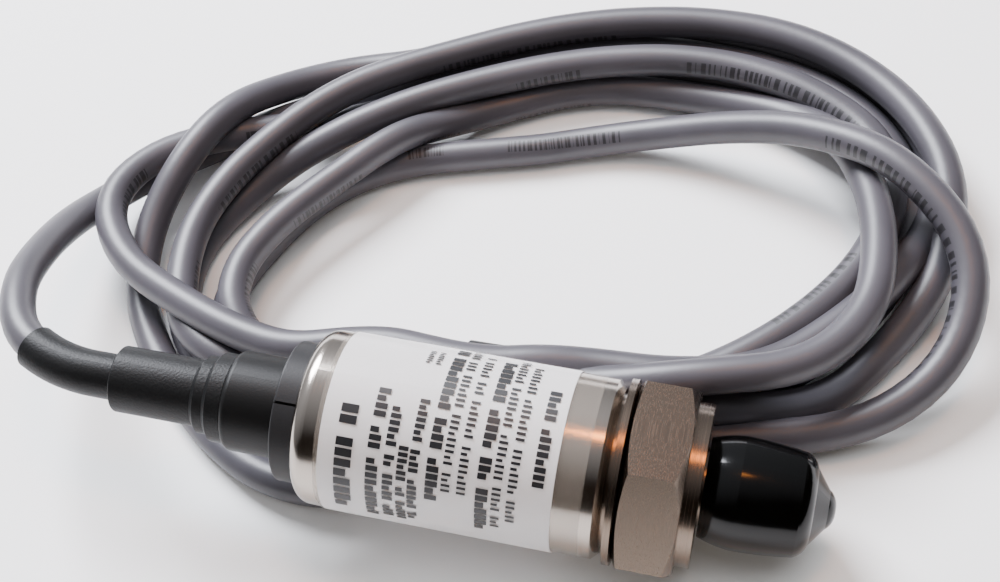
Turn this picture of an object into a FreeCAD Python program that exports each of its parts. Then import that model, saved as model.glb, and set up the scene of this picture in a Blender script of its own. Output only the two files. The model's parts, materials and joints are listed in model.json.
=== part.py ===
"""Pressure transmitter with a moulded-in cable: a FreeCAD macro in millimetres.

The transmitter is turned about one axis. Lengths along that axis are counted from the rear face of
the housing: the cable side is negative and the pressure port side is positive. Every piece is drawn
with its axis along X and is then laid down with the same placement, in which the axis leans nose
down, one flat of the hexagon touches the ground at its front edge, and +Z is up.
"""
import FreeCAD, Part
import math
import os
from types import SimpleNamespace

import Sketcher

SIZES = {
    # rest position
    "lean": 7.8,
    "origin_place": 12.0,
    # housing
    "housing_radius": 11.0,
    "housing_wall": 0.8,
    "housing_length": 38.2,
    "rear_rounding": 2.0,
    "rear_opening": 7.1,
    "crimp_length": 0.9,
    "crimp_inset": 0.9,
    "crimp_lip": 0.65,
    # label and its clear film
    "label_start": 4.1,
    "label_margin": 5.7,
    "label_thickness": 0.15,
    "film_overlap": 3.4,
    "film_rear_overlap": 0.6,
    "film_thickness": 0.1,
    # general clearances
    "slip_gap": 0.05,
    "glue_gap": 0.02,
    # cable and its strain relief
    "cable_radius": 2.4,
    "flange_inset": 2.1,
    "flange_thickness": 2.9,
    "flange_slit": 0.3,
    "flange_slit_depth": 0.6,
    "flange_slit_place": 3.8,
    "flange_slit_drop": 0.85,
    "inner_flange_inset": 2.4,
    "inner_flange_thickness": 2.2,
    "boot_radius": 6.4,
    "boot_length": 7.6,
    "boot_rounding": 0.8,
    "stub_radius": 3.6,
    "stub_length": 11.5,
    "stub_step": 0.72,
    "stub_step_length": 1.9,
    "sleeve_wall": 0.65,
    "sleeve_length": 15.5,
    "inner_sleeve_wall": 0.55,
    "inner_sleeve_reach": 17.4,
    "lead_start": 24.2,
    "clamp_wall": 0.85,
    "clamp_length": 1.9,
    "jacket_end": 5.5,
    # port fitting
    "spigot_length": 7.2,
    "neck_inset": 1.6,
    "collar_gap": 0.55,
    "collar_rise": 0.4,
    "collar_thickness": 0.85,
    "collar_bevel": 0.3,
    "hex_across_flats": 22.2,
    "hex_length": 7.3,
    "hex_rear_face": 10.4,
    "hex_rear_bevel": 0.9,
    "hex_front_face": 10.9,
    "hex_front_bevel": 1.2,
    "hex_bevel_curve": 25.0,
    "washer_radius": 10.0,
    "washer_thickness": 1.8,
    "thread_radius": 5.556,
    "thread_length": 9.0,
    "relief_radius": 4.8,
    "relief_length": 1.2,
    "nose_radius": 3.26,
    "port_radius": 2.0,
    "cavity_wall": 1.95,
    "cavity_depth": 5.2,
    "chamber_inset": 3.2,
    "chamber_depth": 1.0,
    "seal_groove_start": 3.65,
    "seal_groove_width": 1.6,
    "seal_groove_depth": 1.1,
    # sealing rings and sensor
    "seal_thickness": 1.08,
    "ring_groove_start": 0.6,
    "ring_groove_width": 1.0,
    "ring_groove_depth": 0.55,
    "ring_width": 1.6,
    "ring_gap": 6.0,
    "capsule_gap": 0.1,
    "capsule_shoulder": 1.15,
    "face_seal_room": 1.6,
    "diaphragm_rim": 1.4,
    "diaphragm_recess": 0.35,
    "header_inset": 3.7,
    "capsule_header_height": 0.55,
    "face_seal_thickness": 1.1,
    "pin_radius": 0.3,
    "pin_offset": 2.1,
    "pin_stand": 0.6,
    # electronics
    "carrier_wall": 1.1,
    "carrier_slot_depth": 0.5,
    "board_thickness": 1.0,
    "board_start": 9.5,
    "round_board_pocket": 2.5,
    "round_board_step": 0.4,
    "chip_length": 6.0,
    "chip_width": 4.4,
    "chip_height": 1.5,
    "chip_place": 16.0,
    "regulator_length": 4.5,
    "regulator_width": 3.6,
    "regulator_height": 1.6,
    "regulator_place": 21.0,
    "capacitor_length": 2.2,
    "capacitor_width": 1.6,
    "capacitor_height": 1.2,
    "capacitor_place": 23.5,
    "capacitor_pitch": 3.4,
    "wire_radius": 0.65,
    "drain_radius": 0.4,
    # dust cap
    "cap_gap": 0.1,
    "cap_seat_gap": 0.25,
    "cap_mouth_wall": 0.37,
    "cap_belly_place": 4.05,
    "cap_belly_wall": 1.27,
    "cap_belly_curve": 15.6,
    "cap_shoulder_curve": 46.8,
    "cap_shoulder_place": 11.35,
    "cap_shoulder_radius": 6.33,
    "cap_cone_place": 12.95,
    "cap_cone_radius": 4.7,
    "cap_nose_place": 14.65,
    "cap_nose_radius": 2.4,
    "cap_tip_radius": 0.8,
    "cap_length": 15.6,
    "cap_bore_depth": 10.35,
    "cap_bore_end": 14.15,
    # coil of cable
    "coil_half_length": 66.5,
    "coil_half_width": 43.0,
    "coil_hole_half_length": 43.0,
    "coil_hole_half_width": 20.8,
    "coil_height": 13.0,
    "coil_clearance": 0.6,
    "coil_front": 8.6,
    # bare end of the cable
    "tail_sleeve_radius": 2.95,
    "tail_sleeve_length": 10.0,
    "tail_sleeve_overhang": 4.0,
}

# Routes are chosen by hand, in the standing frame.
LEAD_BEND = 34.0                       # where the axis is left, counted back from the housing
LEAD_ROUTE = [                         # free cable from the sleeve down to the coil
    (-54.6, 4.3, 23.0),
    (-59.5, 12.2, 21.4),
    (-61.9, 21.4, 17.6),
    (-63.1, 31.0, 12.2),
    (-62.5, 40.4, 7.2),
    (-58.1, 48.6, 3.8),
]
COIL_CENTRE = (2.2, 38.0)
COIL_HOLE_CENTRE = (7.2, 36.2)
TAIL_ROUTE = [(18.7, 18.4, 3.0), (4.7, 19.4, 3.0)]
TAIL_LEAD_RED = [                      # beyond the jacket: along, to the left, share of the way down
    (0.05, -1.1, 0.0), (2.0, -1.1, 0.0), (6.0, -1.4, 0.5), (12.0, -2.4, 1.0), (18.0, -3.8, 1.0),
]
TAIL_LEAD_BLACK = [
    (0.05, 1.1, 0.0), (2.0, 1.1, 0.0), (7.0, 1.0, 0.6), (12.0, 0.4, 1.0), (19.0, -0.6, 1.0),
]
TAIL_DRAIN_WIRE = [
    (0.05, 0.0, 0.0), (2.0, 0.0, 0.0), (5.0, -0.1, 0.6), (10.0, -0.6, 1.0), (15.0, -1.6, 1.0),
]
BOARD_WIRES = {"board_lead_red": 1, "board_lead_black": -1}
BOARD_WIRE_ROUTE = [(0.05, 0.95, 0.0), (1.4, 0.95, 0.0), (3.3, 1.6, 1.25), (5.2, 2.2, 1.2)]

FULL_TURN = 360
SAME_PLACE = 1e-4                      # two places nearer than this are one
CORNER_SHARE = 1 / math.sqrt(3)        # corner radius of a hexagon over its width across flats
ARC_SHARE = 0.45                       # part of the shorter run that a bend takes up


class Size:
    """A number that remembers the spreadsheet formula it comes from."""

    def __init__(self, value, formula):
        self.value = value
        self.formula = formula

    def joined(self, other, sign, value):
        formula = other.formula if isinstance(other, Size) else repr(other)
        return Size(value, f"({self.formula} {sign} {formula})")

    def __add__(self, other):
        return self.joined(other, "+", self.value + number(other))

    def __sub__(self, other):
        return self.joined(other, "-", self.value - number(other))

    def __mul__(self, other):
        return self.joined(other, "*", self.value * number(other))

    def __truediv__(self, other):
        return self.joined(other, "/", self.value / number(other))

    def __neg__(self):
        return Size(-self.value, f"(-{self.formula})")


def number(size):
    """The plain number of a Size or of a number."""
    return size.value if isinstance(size, Size) else size


ZERO = Size(0.0, "0")
doc = FreeCAD.newDocument("pressure_transmitter")


def fill_sheet():
    """Put the sizes in a spreadsheet and give each back as a Size bound to its cell."""
    sheet = doc.addObject("Spreadsheet::Sheet", "sizes")
    for row, (alias, value) in enumerate(SIZES.items(), start=1):
        sheet.set(f"A{row}", alias)
        sheet.set(f"B{row}", str(value))
        sheet.setAlias(f"B{row}", alias)
    doc.recompute()
    cells = {alias: Size(float(sheet.get(alias)), f"sizes.{alias}") for alias in SIZES}
    return SimpleNamespace(**cells)


dim = fill_sheet()

# Places along the axis and radii that several pieces share
bore_radius = dim.housing_radius - dim.housing_wall
spigot_radius = bore_radius - dim.slip_gap
spigot_start = dim.housing_length - dim.spigot_length
cable_bore = dim.cable_radius + dim.slip_gap
label_radius = dim.housing_radius + dim.glue_gap
film_radius = label_radius + dim.label_thickness + dim.glue_gap
label_end = dim.housing_length - dim.label_margin
crimp_radius = dim.housing_radius - dim.crimp_inset
flange_radius = dim.housing_radius - dim.flange_inset
inner_flange_radius = dim.housing_radius - dim.inner_flange_inset
boot_end = -(dim.flange_thickness + dim.boot_length)
stub_end = boot_end - dim.stub_length
inner_sleeve_radius = cable_bore + dim.inner_sleeve_wall
inner_flange_end = dim.housing_wall + dim.inner_flange_thickness
neck_radius = dim.housing_radius - dim.neck_inset
collar_start = dim.housing_length + dim.collar_gap
collar_end = collar_start + dim.collar_thickness
collar_radius = dim.housing_radius + dim.collar_rise
hex_start = collar_end + dim.collar_bevel
hex_end = hex_start + dim.hex_length
washer_end = hex_end + dim.washer_thickness
thread_start = washer_end + dim.relief_length
thread_end = thread_start + dim.thread_length
port_end = thread_end + dim.thread_radius - dim.nose_radius
seat = spigot_start + dim.cavity_depth
cavity_radius = spigot_radius - dim.cavity_wall
chamber_radius = cavity_radius - dim.chamber_inset
boss_radius = cavity_radius - dim.face_seal_room
diaphragm_radius = boss_radius - dim.diaphragm_rim
header_radius = cavity_radius - dim.header_inset
hex_corner = dim.hex_across_flats * CORNER_SHARE
cap_mouth = washer_end + dim.cap_seat_gap
cap_bore = dim.thread_radius + dim.cap_gap
capsule_top = spigot_start + dim.ring_groove_start + dim.ring_groove_width + dim.capsule_gap
header_top = capsule_top - dim.capsule_header_height
carrier_start = inner_flange_end + dim.slip_gap
carrier_end = spigot_start - dim.slip_gap
carrier_radius = bore_radius - dim.slip_gap
carrier_bore = carrier_radius - dim.carrier_wall
board_end = carrier_end - dim.round_board_pocket
board_top = dim.board_thickness / 2


def standing():
    """The placement that lays the axis on the ground: the hexagon's front edge bears on it."""
    lean = math.radians(dim.lean.value)
    flat = number(dim.hex_across_flats) / 2
    bevel = (hex_corner - dim.hex_front_face).value
    contact = number(hex_end) - number(dim.hex_front_bevel) * (flat - number(dim.hex_front_face)) / bevel
    behind = dim.origin_place.value * math.cos(lean)
    height = flat * math.cos(lean) + contact * math.sin(lean)
    turn = FreeCAD.Rotation(FreeCAD.Vector(0, 1, 0), dim.lean.value)
    return FreeCAD.Placement(FreeCAD.Vector(-behind, 0, height), turn)


AXIS = standing()


def on_axis(along):
    """The point of the leaning axis that lies this far from the rear face."""
    return AXIS.multVec(FreeCAD.Vector(number(along), 0, 0))


def origin_plane(body, role):
    """One of a body's own origin planes."""
    return next(item for item in body.Origin.OriginFeatures if item.Role == role)


def add_body(label):
    """An empty body that stands with the rest."""
    body = doc.addObject("PartDesign::Body", label)
    body.Label = label
    body.Placement = AXIS
    return body


def add_sketch(body, name, plane, height=ZERO):
    """An empty sketch on an origin plane, or this far off it along its normal."""
    sketch = body.newObject("Sketcher::SketchObject", name)
    sketch.AttachmentSupport = [(origin_plane(body, plane), "")]
    sketch.MapMode = "FlatFace"
    sketch.AttachmentOffset = FreeCAD.Placement(FreeCAD.Vector(0, 0, number(height)), FreeCAD.Rotation())
    sketch.setExpression("AttachmentOffset.Base.z", height.formula)
    return sketch


def bind(sketch, constraint, size):
    """Add a constraint whose value follows the spreadsheet."""
    index = sketch.addConstraint(constraint)
    sketch.setExpression(f"Constraints[{index}]", size.formula)


def pin_point(sketch, line, end, across, up):
    """Hold a line's end at a place measured from the sketch's origin."""
    for axis, kind, size in ((-2, "DistanceX", across), (-1, "DistanceY", up)):
        if size is ZERO:
            sketch.addConstraint(Sketcher.Constraint("PointOnObject", line, end, axis))
        else:
            bind(sketch, Sketcher.Constraint(kind, -1, 1, line, end, size.value), size)


def bulged(start, end, radius):
    """An arc from start to end that bulges to the left of its direction of travel."""
    chord = end - start
    left = FreeCAD.Vector(-chord.y, chord.x, 0).normalize()
    rise = radius - math.sqrt(radius ** 2 - (chord.Length / 2) ** 2)
    return Part.Arc(start, (start + end) / 2 + left * rise, end)


def end_at(sketch, piece, place):
    """Which end of a line or arc lies at a place: 1 for its start, 2 for its end."""
    return min((1, 2), key=lambda end: sketch.getPoint(piece, end).distanceToPoint(place))


def add_outline(sketch, points):
    """A closed outline. A point is (across, up), or (across, up, radius) after a bulged arc."""
    first = sketch.GeometryCount
    places = [FreeCAD.Vector(number(point[0]), number(point[1]), 0) for point in points]
    count = len(points)
    for index, point in enumerate(points):
        start, end = places[index - 1], places[index]
        if len(point) == 3:
            arc = sketch.addGeometry(bulged(start, end, number(point[2])), False)
            bind(sketch, Sketcher.Constraint("Radius", arc, number(point[2])), point[2])
        else:
            sketch.addGeometry(Part.LineSegment(start, end), False)
    for index, point in enumerate(points):
        piece, after = first + index, first + (index + 1) % count
        end = end_at(sketch, piece, places[index])
        next_start = end_at(sketch, after, places[index])
        sketch.addConstraint(Sketcher.Constraint("Coincident", piece, end, after, next_start))
        pin_point(sketch, piece, end, point[0], point[1])


def turned(label, points):
    """A body turned from an outline of (along, radius) points about the axis."""
    body = add_body(label)
    sketch = add_sketch(body, label + "_profile", "XZ_Plane")
    add_outline(sketch, points)
    turn = body.newObject("PartDesign::Revolution", label + "_turned")
    turn.Profile = (sketch, [""])
    turn.ReferenceAxis = (sketch, ["H_Axis"])
    turn.Angle = FULL_TURN
    return body


def cut_turned(body, name, points):
    """Turn away material from a body."""
    sketch = add_sketch(body, name + "_profile", "XZ_Plane")
    add_outline(sketch, points)
    groove = body.newObject("PartDesign::Groove", name)
    groove.Profile = (sketch, [""])
    groove.ReferenceAxis = (sketch, ["H_Axis"])
    groove.Angle = FULL_TURN
    return groove


def rounded(body, name, rings, radius):
    """Round the circular edges of a turned body that lie at these (along, radius) places."""
    doc.recompute()
    base = body.Tip
    names = []
    for index, edge in enumerate(base.Shape.Edges, start=1):
        if edge.Curve.TypeId != "Part::GeomCircle":
            continue
        for along, ring in rings:
            miss = abs(edge.Curve.Center.x - number(along)) + abs(edge.Curve.Radius - number(ring))
            if miss < SAME_PLACE:
                names.append(f"Edge{index}")
    assert len(names) == len(rings), f"{name}: {len(names)} of {len(rings)} edges found"
    fillet = body.newObject("PartDesign::Fillet", name)
    fillet.Base = (base, names)
    fillet.setExpression("Radius", radius.formula)
    return fillet


def rectangle(across, up, width, height):
    """Corners of a rectangle about a centre."""
    half_width, half_height = width / 2, height / 2
    return [
        (across - half_width, up - half_height),
        (across + half_width, up - half_height),
        (across + half_width, up + half_height),
        (across - half_width, up + half_height),
    ]


def padded(body, name, sketch, length):
    """Raise a sketch into solid along its plane's normal."""
    pad = body.newObject("PartDesign::Pad", name)
    pad.Profile = (sketch, [""])
    pad.setExpression("Length", length.formula)
    return pad


def pocketed(body, name, sketch, length):
    """Cut a sketch into the body along its plane's normal."""
    pocket = body.newObject("PartDesign::Pocket", name)
    pocket.Profile = (sketch, [""])
    pocket.Reversed = True
    pocket.setExpression("Length", length.formula)
    return pocket


def rounded_path(points, arc_reach=None):
    """Straight runs joined by tangent arcs, each of which starts this far from its corner."""
    edges = []
    start = points[0]
    for before, corner, after in zip(points, points[1:], points[2:]):
        back, onward = before - corner, after - corner
        reach = arc_reach or ARC_SHARE * min(back.Length, onward.Length)
        half_turn = (math.pi - back.getAngle(onward)) / 2
        radius = reach / math.tan(half_turn)
        enter = corner + back.normalize() * reach
        leave = corner + onward.normalize() * reach
        inward = ((enter + leave) / 2 - corner).normalize()
        middle = corner + inward * (radius / math.cos(half_turn) - radius)
        edges.append(Part.LineSegment(start, enter).toShape())
        edges.append(Part.Arc(enter, middle, leave).toShape())
        start = leave
    edges.append(Part.LineSegment(start, points[-1]).toShape())
    return Part.Wire(edges)


def pipe(path, radius):
    """A round solid along a path."""
    edge = path.OrderedEdges[0]
    start, along = edge.valueAt(edge.FirstParameter), edge.tangentAt(edge.FirstParameter)
    section = Part.Face(Part.Wire(Part.makeCircle(radius, start, along)))
    return path.makePipe(section)


def placed_feature(label, shape):
    """A sub-part whose shape is given in the standing frame."""
    feature = doc.addObject("Part::Feature", label)
    feature.Label = label
    feature.Shape = shape
    return feature


def wire_feature(label, points, radius):
    """A wire or cable of constant section along a route of the standing frame."""
    return placed_feature(label, pipe(rounded_path(points), radius))


def make_housing():
    """Drawn tube with a rounded rear end, an opening for the strain relief and a crimped front lip."""
    crimp_start = dim.housing_length - dim.crimp_length
    lip_radius = crimp_radius - dim.crimp_lip
    body = turned("housing", [
        (ZERO, dim.rear_opening),
        (ZERO, dim.housing_radius),
        (crimp_start, dim.housing_radius),
        (dim.housing_length, crimp_radius),
        (dim.housing_length, lip_radius),
        (crimp_start, bore_radius),
        (dim.housing_wall, bore_radius),
        (dim.housing_wall, dim.rear_opening),
    ])
    rounded(body, "rear_edge", [(ZERO, dim.housing_radius)], dim.rear_rounding)
    rounded(body, "rear_corner", [(dim.housing_wall, bore_radius)], dim.rear_rounding - dim.housing_wall)
    return body


def make_label():
    """White label wrapped round the housing."""
    outside = label_radius + dim.label_thickness
    return turned("label", [
        (dim.label_start, label_radius),
        (dim.label_start, outside),
        (label_end, outside),
        (label_end, label_radius),
    ])


def make_label_film():
    """Clear film that covers the label and grips the metal on both sides of it."""
    rear, front = dim.label_start - dim.film_rear_overlap, label_end + dim.film_overlap
    rear_step = dim.label_start - dim.film_thickness * 2
    front_step = label_end + dim.film_thickness * 2
    low, high = label_radius + dim.film_thickness, film_radius + dim.film_thickness
    rear_wall, front_wall = rear_step + dim.film_thickness, front_step - dim.film_thickness
    return turned("label_film", [
        (rear, label_radius), (rear, low), (rear_step, low), (rear_step, high),
        (front_step, high), (front_step, low), (front, low), (front, label_radius),
        (front_wall, label_radius), (front_wall, film_radius),
        (rear_wall, film_radius), (rear_wall, label_radius),
    ])


def make_grommet():
    """Moulded strain relief: a slit flange outside, a neck through the housing, a flange inside,
    and a boot that steps down to the stub under the shrink sleeves."""
    neck = dim.rear_opening - dim.slip_gap
    step_two, step_one = dim.stub_radius + dim.stub_step, dim.stub_radius + dim.stub_step * 2
    first_step, second_step = boot_end - dim.stub_step_length, boot_end - dim.stub_step_length * 2
    body = turned("grommet", [
        (stub_end, cable_bore),
        (stub_end, dim.stub_radius),
        (second_step, dim.stub_radius),
        (second_step, step_two),
        (first_step, step_two),
        (first_step, step_one),
        (boot_end, step_one),
        (boot_end, dim.boot_radius),
        (-dim.flange_thickness, dim.boot_radius),
        (-dim.flange_thickness, flange_radius),
        (ZERO, flange_radius),
        (ZERO, neck),
        (dim.housing_wall + dim.slip_gap, neck),
        (dim.housing_wall + dim.slip_gap, inner_flange_radius),
        (inner_flange_end, inner_flange_radius),
        (inner_flange_end, cable_bore),
    ])
    rounded(body, "flange_edge", [(-dim.flange_thickness, flange_radius)], dim.flange_slit)
    sketch = add_sketch(body, "flange_slit", "YZ_Plane", -dim.flange_thickness)
    add_outline(sketch, rectangle(-dim.flange_slit_place, flange_radius - dim.flange_slit_drop,
                                  dim.flange_slit, dim.flange_slit_depth * 2))
    pocketed(body, "flange_slit_cut", sketch, dim.flange_thickness)
    rounded(body, "boot_edge", [(boot_end, dim.boot_radius)], dim.boot_rounding)
    return body


def make_outer_sleeve():
    """Shrink sleeve that follows the steps of the boot's stub and overlaps the inner sleeve."""
    front = boot_end - dim.slip_gap
    rear = boot_end - dim.sleeve_length
    steps = [dim.stub_radius + dim.slip_gap + dim.stub_step * step for step in range(3)]
    walls = [step + dim.sleeve_wall for step in steps]
    first_step = boot_end - dim.stub_step_length - dim.slip_gap
    second_step = first_step - dim.stub_step_length
    shoulder = dim.sleeve_wall
    body = turned("outer_sleeve", [
        (rear, inner_sleeve_radius + dim.slip_gap),
        (rear, walls[0]),
        (second_step - shoulder, walls[0]),
        (second_step, walls[1]),
        (first_step - shoulder, walls[1]),
        (first_step, walls[2]),
        (front, walls[2]),
        (front, steps[2]),
        (first_step, steps[2]),
        (first_step, steps[1]),
        (second_step, steps[1]),
        (second_step, steps[0]),
        (stub_end - dim.slip_gap, steps[0]),
        (stub_end - dim.slip_gap, inner_sleeve_radius + dim.slip_gap),
    ])
    rounded(body, "sleeve_rim", [(rear, walls[0])], dim.sleeve_wall / 2)
    return body


def lead_points():
    """Route of the free cable: along the axis inside the sleeve, then by hand to the coil."""
    on_the_axis = [on_axis(-dim.lead_start), on_axis(-LEAD_BEND)]
    return on_the_axis + [FreeCAD.Vector(*point) for point in LEAD_ROUTE]


def make_inner_sleeve():
    """Shrink sleeve on the cable, bent where the cable leaves the axis."""
    start = on_axis(stub_end - dim.slip_gap)
    cable_start, bend, onward = lead_points()[:3]
    after_bend = number(dim.inner_sleeve_reach - dim.slip_gap) - (bend - start).Length
    arc_reach = ARC_SHARE * min((cable_start - bend).Length, (onward - bend).Length)
    mouth = bend + (onward - bend).normalize() * after_bend
    path = rounded_path([start, bend, mouth], arc_reach)
    outside = pipe(path, inner_sleeve_radius.value)
    return placed_feature("inner_sleeve", outside.cut(pipe(path, cable_bore.value)))


def make_cable_entry():
    """Cable that runs through the strain relief into the housing."""
    return turned("cable_entry", [
        (-dim.lead_start, ZERO), (-dim.lead_start, dim.cable_radius),
        (dim.jacket_end, dim.cable_radius), (dim.jacket_end, ZERO),
    ])


def make_cable_clamp():
    """Crimped ferrule that keeps the cable from being pulled out."""
    start = inner_flange_end
    return turned("cable_clamp", [
        (start, cable_bore), (start, cable_bore + dim.clamp_wall),
        (start + dim.clamp_length, cable_bore + dim.clamp_wall), (start + dim.clamp_length, cable_bore),
    ])


def make_port_fitting():
    """One-piece stainless fitting: spigot, collar, hexagon, washer face and flared nipple."""
    shoulder = dim.housing_length - dim.crimp_length
    groove = spigot_start + dim.seal_groove_start
    groove_end, groove_floor = groove + dim.seal_groove_width, spigot_radius - dim.seal_groove_depth
    ring = spigot_start + dim.ring_groove_start
    ring_end, ring_floor = ring + dim.ring_groove_width, cavity_radius + dim.ring_groove_depth
    body = turned("port_fitting", [
        (port_end, dim.port_radius),
        (port_end, dim.nose_radius),
        (thread_end, dim.thread_radius),
        (thread_start, dim.thread_radius),
        (thread_start, dim.relief_radius),
        (washer_end, dim.relief_radius),
        (washer_end, dim.washer_radius),
        (hex_start, dim.washer_radius),
        (hex_start, dim.hex_rear_face),
        (collar_end, collar_radius),
        (collar_start, collar_radius),
        (collar_start, neck_radius),
        (dim.housing_length, neck_radius),
        (shoulder - dim.slip_gap, spigot_radius),
        (groove_end, spigot_radius),
        (groove_end, groove_floor),
        (groove, groove_floor),
        (groove, spigot_radius),
        (spigot_start, spigot_radius),
        (spigot_start, cavity_radius),
        (ring, cavity_radius),
        (ring, ring_floor),
        (ring_end, ring_floor),
        (ring_end, cavity_radius),
        (seat, cavity_radius),
        (seat, chamber_radius),
        (seat + dim.chamber_depth, chamber_radius),
        (seat + dim.chamber_depth, dim.port_radius),
    ])
    add_hexagon(body)
    return body


def add_hexagon(body):
    """Hexagon with a slightly crowned bevel turned at each end, flats up and down."""
    sketch = add_sketch(body, "hex_outline", "YZ_Plane", hex_start)
    half_side, half_flats = hex_corner / 2, dim.hex_across_flats / 2
    add_outline(sketch, [
        (hex_corner, ZERO), (half_side, half_flats), (-half_side, half_flats),
        (-hex_corner, ZERO), (-half_side, -half_flats), (half_side, -half_flats),
    ])
    bind_circle(sketch, dim.relief_radius)
    padded(body, "hex_block", sketch, dim.hex_length)
    outside = hex_corner + dim.hex_rear_bevel
    rear_slope = (hex_corner - dim.hex_rear_face) / dim.hex_rear_bevel
    front_slope = (hex_corner - dim.hex_front_face) / dim.hex_front_bevel
    cut_turned(body, "hex_rear_bevel_cut", [
        (hex_start + (outside - dim.hex_rear_face) / rear_slope, outside, dim.hex_bevel_curve),
        (hex_start, outside),
        (hex_start, dim.hex_rear_face),
    ])
    cut_turned(body, "hex_front_bevel_cut", [
        (hex_end, dim.hex_front_face, dim.hex_bevel_curve),
        (hex_end, outside),
        (hex_end - (outside - dim.hex_front_face) / front_slope, outside),
    ])


def bind_circle(sketch, radius, across=ZERO, up=ZERO):
    """A circle in a sketch."""
    place = FreeCAD.Vector(number(across), number(up), 0)
    circle = sketch.addGeometry(Part.Circle(place, FreeCAD.Vector(0, 0, 1), radius.value), False)
    pin_point(sketch, circle, 3, across, up)
    bind(sketch, Sketcher.Constraint("Radius", circle, radius.value), radius)


def make_seal(label, along, ring_radius, thickness):
    """Rubber ring of round section."""
    torus = doc.addObject("Part::Torus", label)
    torus.Label = label
    torus.setExpression("Radius1", ring_radius.formula)
    torus.setExpression("Radius2", (thickness / 2).formula)
    across = FreeCAD.Rotation(FreeCAD.Vector(0, 1, 0), FULL_TURN / 4)
    torus.Placement = AXIS.multiply(FreeCAD.Placement(FreeCAD.Vector(along.value, 0, 0), across))
    return torus


def make_body_seal():
    """Ring between the spigot and the housing."""
    along = spigot_start + dim.seal_groove_start + dim.seal_groove_width / 2
    floor = spigot_radius - dim.seal_groove_depth
    return make_seal("body_o_ring", along, floor + dim.glue_gap + dim.seal_thickness / 2, dim.seal_thickness)


def make_face_seal():
    """Ring between the sensor and its seat."""
    along = seat - dim.capsule_shoulder / 2
    middle = (boss_radius + cavity_radius) / 2
    return make_seal("sensor_o_ring", along, middle, dim.face_seal_thickness)


def make_capsule():
    """Pressure sensor: a disc with a header on one side and a recessed diaphragm on the other."""
    edge = cavity_radius - dim.capsule_gap
    shoulder = seat - dim.capsule_shoulder - dim.glue_gap
    face = seat - dim.slip_gap
    return turned("sensor_capsule", [
        (header_top, ZERO), (header_top, header_radius),
        (capsule_top, header_radius), (capsule_top, edge),
        (shoulder, edge), (shoulder, boss_radius),
        (face, boss_radius), (face, diaphragm_radius),
        (face - dim.diaphragm_recess, diaphragm_radius), (face - dim.diaphragm_recess, ZERO),
    ])


def make_retaining_ring():
    """Open spring ring in the groove above the sensor."""
    start = spigot_start + dim.ring_groove_start + dim.slip_gap
    end = start + dim.ring_groove_width - dim.slip_gap * 2
    outside = cavity_radius + dim.ring_groove_depth - dim.slip_gap
    inside = outside - dim.ring_width
    body = turned("retaining_ring", [(start, inside), (start, outside), (end, outside), (end, inside)])
    sketch = add_sketch(body, "ring_gap_outline", "YZ_Plane", start)
    add_outline(sketch, rectangle(outside, ZERO, outside, dim.ring_gap))
    pocketed(body, "ring_gap_cut", sketch, end - start)
    return body


def make_pins():
    """Four pins from the sensor's header through the round board."""
    body = add_body("sensor_pins")
    body.AllowCompound = True
    tip = board_end - dim.pin_stand
    sketch = add_sketch(body, "pin_circles", "YZ_Plane", tip)
    for across in (dim.pin_offset, -dim.pin_offset):
        for up in (dim.pin_offset, -dim.pin_offset):
            bind_circle(sketch, dim.pin_radius, across, up)
    padded(body, "pins", sketch, header_top - tip)
    return body


def make_interface_board():
    """Round board that the pins pass through, seated in the carrier's front pocket."""
    body = add_body("interface_board")
    sketch = add_sketch(body, "round_board_outline", "YZ_Plane", board_end)
    bind_circle(sketch, carrier_bore + dim.round_board_step - dim.slip_gap)
    for across in (dim.pin_offset, -dim.pin_offset):
        for up in (dim.pin_offset, -dim.pin_offset):
            bind_circle(sketch, dim.pin_radius + dim.slip_gap, across, up)
    padded(body, "round_board", sketch, dim.board_thickness)
    return body


def make_carrier():
    """Plastic tube that insulates the electronics, with a slot each side for the board."""
    pocket = carrier_bore + dim.round_board_step
    body = turned("board_carrier", [
        (carrier_start, carrier_bore), (carrier_start, carrier_radius),
        (carrier_end, carrier_radius), (carrier_end, pocket),
        (board_end, pocket), (board_end, carrier_bore),
    ])
    sketch = add_sketch(body, "slot_outline", "YZ_Plane", carrier_start)
    slot_width = (carrier_bore + dim.carrier_slot_depth) * 2
    add_outline(sketch, rectangle(ZERO, ZERO, slot_width, dim.board_thickness + dim.slip_gap * 2))
    pocketed(body, "slot_cut", sketch, board_end - carrier_start)
    return body


def make_main_board():
    """Circuit board that slides into the carrier's slots."""
    body = add_body("main_board")
    sketch = add_sketch(body, "board_outline", "YZ_Plane", dim.board_start)
    width = (carrier_bore + dim.carrier_slot_depth - dim.slip_gap) * 2
    add_outline(sketch, rectangle(ZERO, ZERO, width, dim.board_thickness))
    padded(body, "board", sketch, board_end - dim.board_start)
    return body


def on_board(label, places, length, width, height, below=False):
    """Blocks of one size on the board's upper or lower face, at (along, across) centres."""
    body = add_body(label)
    body.AllowCompound = True
    sketch = add_sketch(body, label + "_outline", "XY_Plane", -board_top - height if below else board_top)
    for along, across in places:
        add_outline(sketch, rectangle(along, across, length, width))
    padded(body, label + "_block", sketch, height)
    return body


def make_board_parts():
    """Signal chip and smoothing capacitors above, current regulator below."""
    return [
        on_board("signal_chip", [(dim.chip_place, ZERO)],
                 dim.chip_length, dim.chip_width, dim.chip_height),
        on_board("current_regulator", [(dim.regulator_place, ZERO)],
                 dim.regulator_length, dim.regulator_width, dim.regulator_height, below=True),
        on_board("filter_capacitors",
                 [(dim.capacitor_place, dim.capacitor_pitch * side) for side in (-1, 0, 1)],
                 dim.capacitor_length, dim.capacitor_width, dim.capacitor_height),
    ]


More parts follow.
